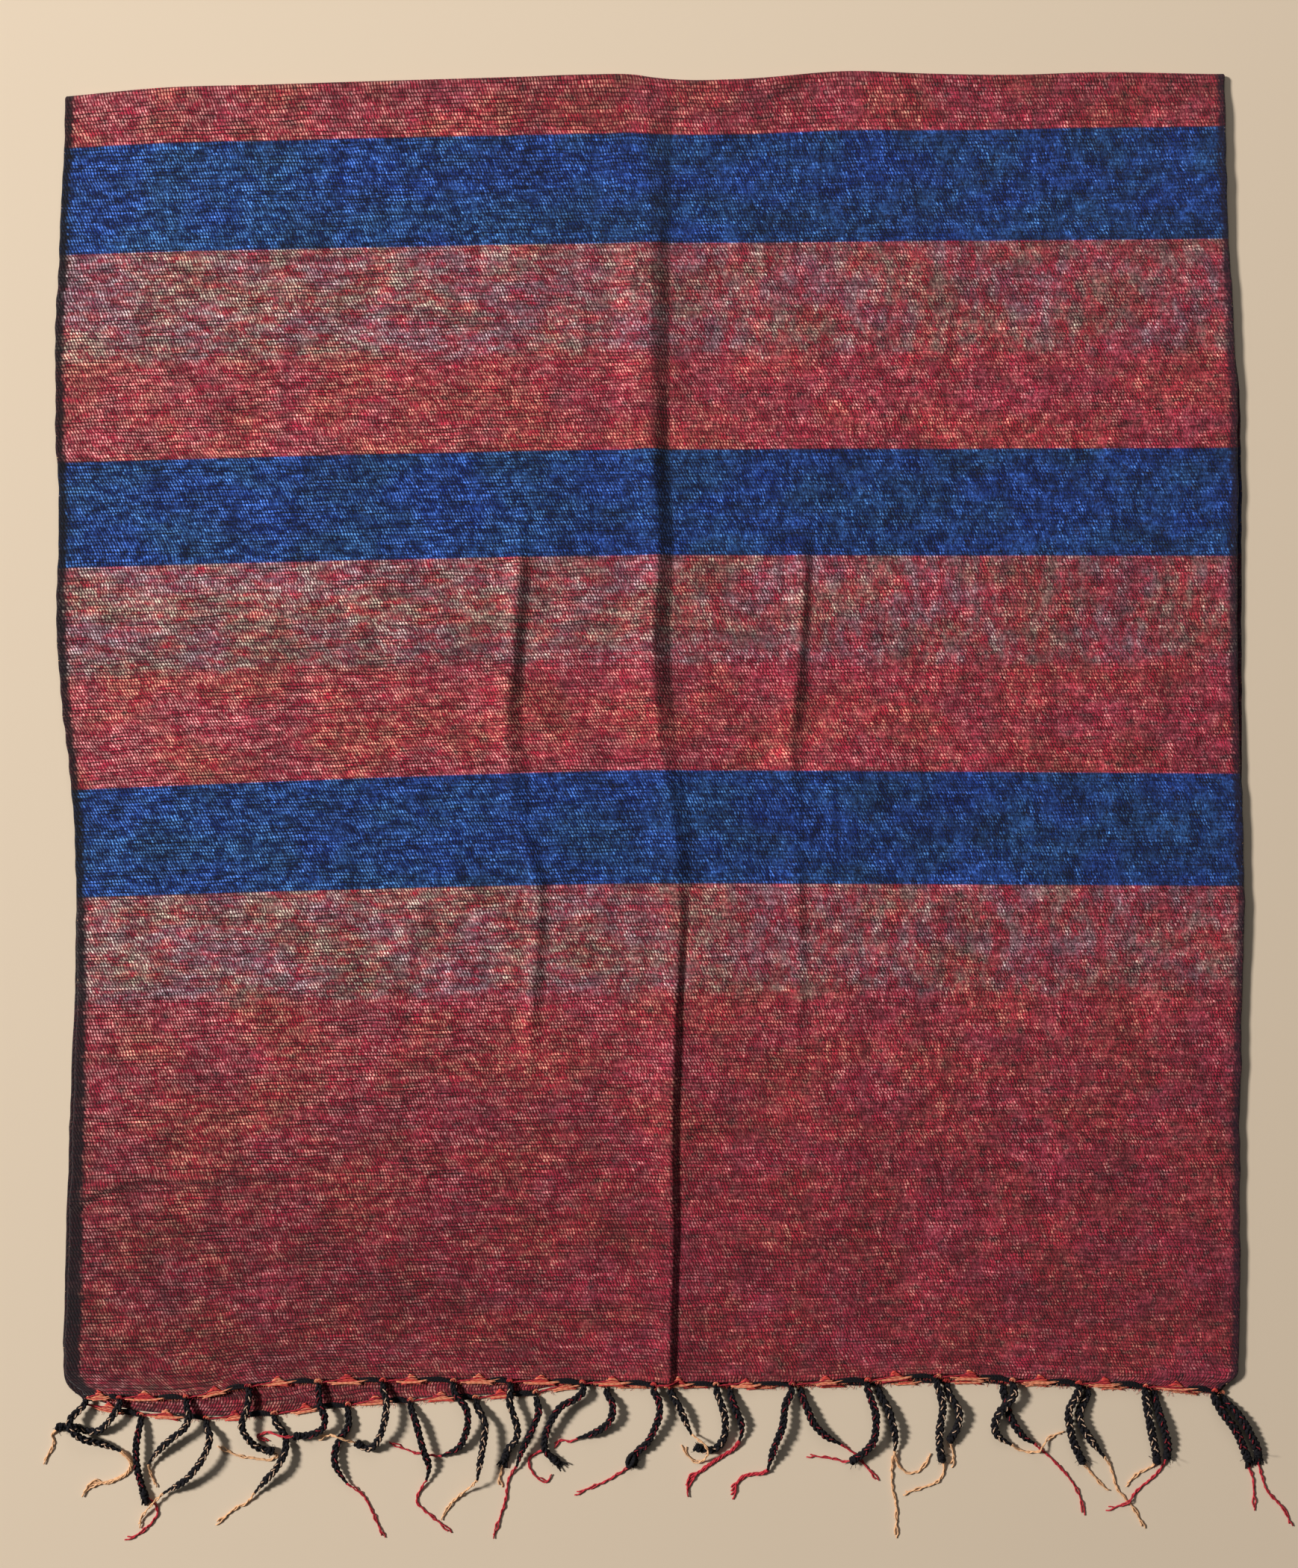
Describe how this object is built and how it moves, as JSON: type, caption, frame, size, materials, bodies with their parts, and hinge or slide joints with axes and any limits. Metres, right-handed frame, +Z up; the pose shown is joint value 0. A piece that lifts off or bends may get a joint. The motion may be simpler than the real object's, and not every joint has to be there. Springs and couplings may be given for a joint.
{
  "type": "camp blanket",
  "caption": "Hand-woven striped wool throw with plaited fringes at both ends, folded once across its middle and lying flat.",
  "frame": {"origin": "on the floor under the middle of the folded throw, at the underside mount", "axes": "+Y from the fringes to the fold, +X along the fold to the right, +Z up"},
  "size_m": [0.8765, 1.0317, 0.0143],
  "materials": {
    "twill_cloth": "matte",
    "hem_yarn": "matte",
    "plait_cream_fleck": "matte",
    "plait_red_fleck": "matte"
  },
  "bodies": {
    "lower_layer": {"lower_cloth": "twill_cloth", "lower_hem": "hem_yarn", "fold_bend": "twill_cloth", "lower_braid_01": "plait_red_fleck", "lower_braid_02": "plait_cream_fleck", "lower_braid_03": "plait_cream_fleck", "lower_braid_04": "plait_red_fleck", "lower_braid_05": "plait_red_fleck", "lower_braid_06": "plait_cream_fleck", "lower_braid_07": "plait_red_fleck", "lower_braid_08": "plait_red_fleck", "lower_braid_09": "plait_cream_fleck", "lower_braid_10": "plait_red_fleck", "lower_braid_11": "plait_red_fleck", "lower_braid_12": "plait_cream_fleck", "lower_braid_13": "plait_cream_fleck", "lower_braid_14": "plait_red_fleck", "lower_braid_15": "plait_cream_fleck", "lower_braid_16": "plait_red_fleck", "lower_braid_17": "plait_red_fleck"},
    "upper_layer": {"upper_cloth": "twill_cloth", "upper_hem": "hem_yarn", "upper_braid_01": "plait_cream_fleck", "upper_braid_02": "plait_cream_fleck", "upper_braid_03": "plait_cream_fleck", "upper_braid_04": "plait_cream_fleck", "upper_braid_05": "plait_red_fleck", "upper_braid_06": "plait_cream_fleck", "upper_braid_07": "plait_red_fleck", "upper_braid_08": "plait_cream_fleck", "upper_braid_09": "plait_red_fleck", "upper_braid_10": "plait_red_fleck", "upper_braid_11": "plait_cream_fleck", "upper_braid_12": "plait_red_fleck", "upper_braid_13": "plait_red_fleck", "upper_braid_14": "plait_cream_fleck", "upper_braid_15": "plait_cream_fleck", "upper_braid_16": "plait_cream_fleck", "upper_braid_17": "plait_cream_fleck", "upper_braid_18": "plait_red_fleck"}
  },
  "joints": [
    {"name": "unfold", "type": "hinge", "parent": "lower_layer", "child": "upper_layer", "pos_m": [0, 0.4565, 0.0025], "axis": [-0.9999, -0.0125, 0], "range_deg": [0, 179], "deforming": ["fold_bend"]}
  ]
}
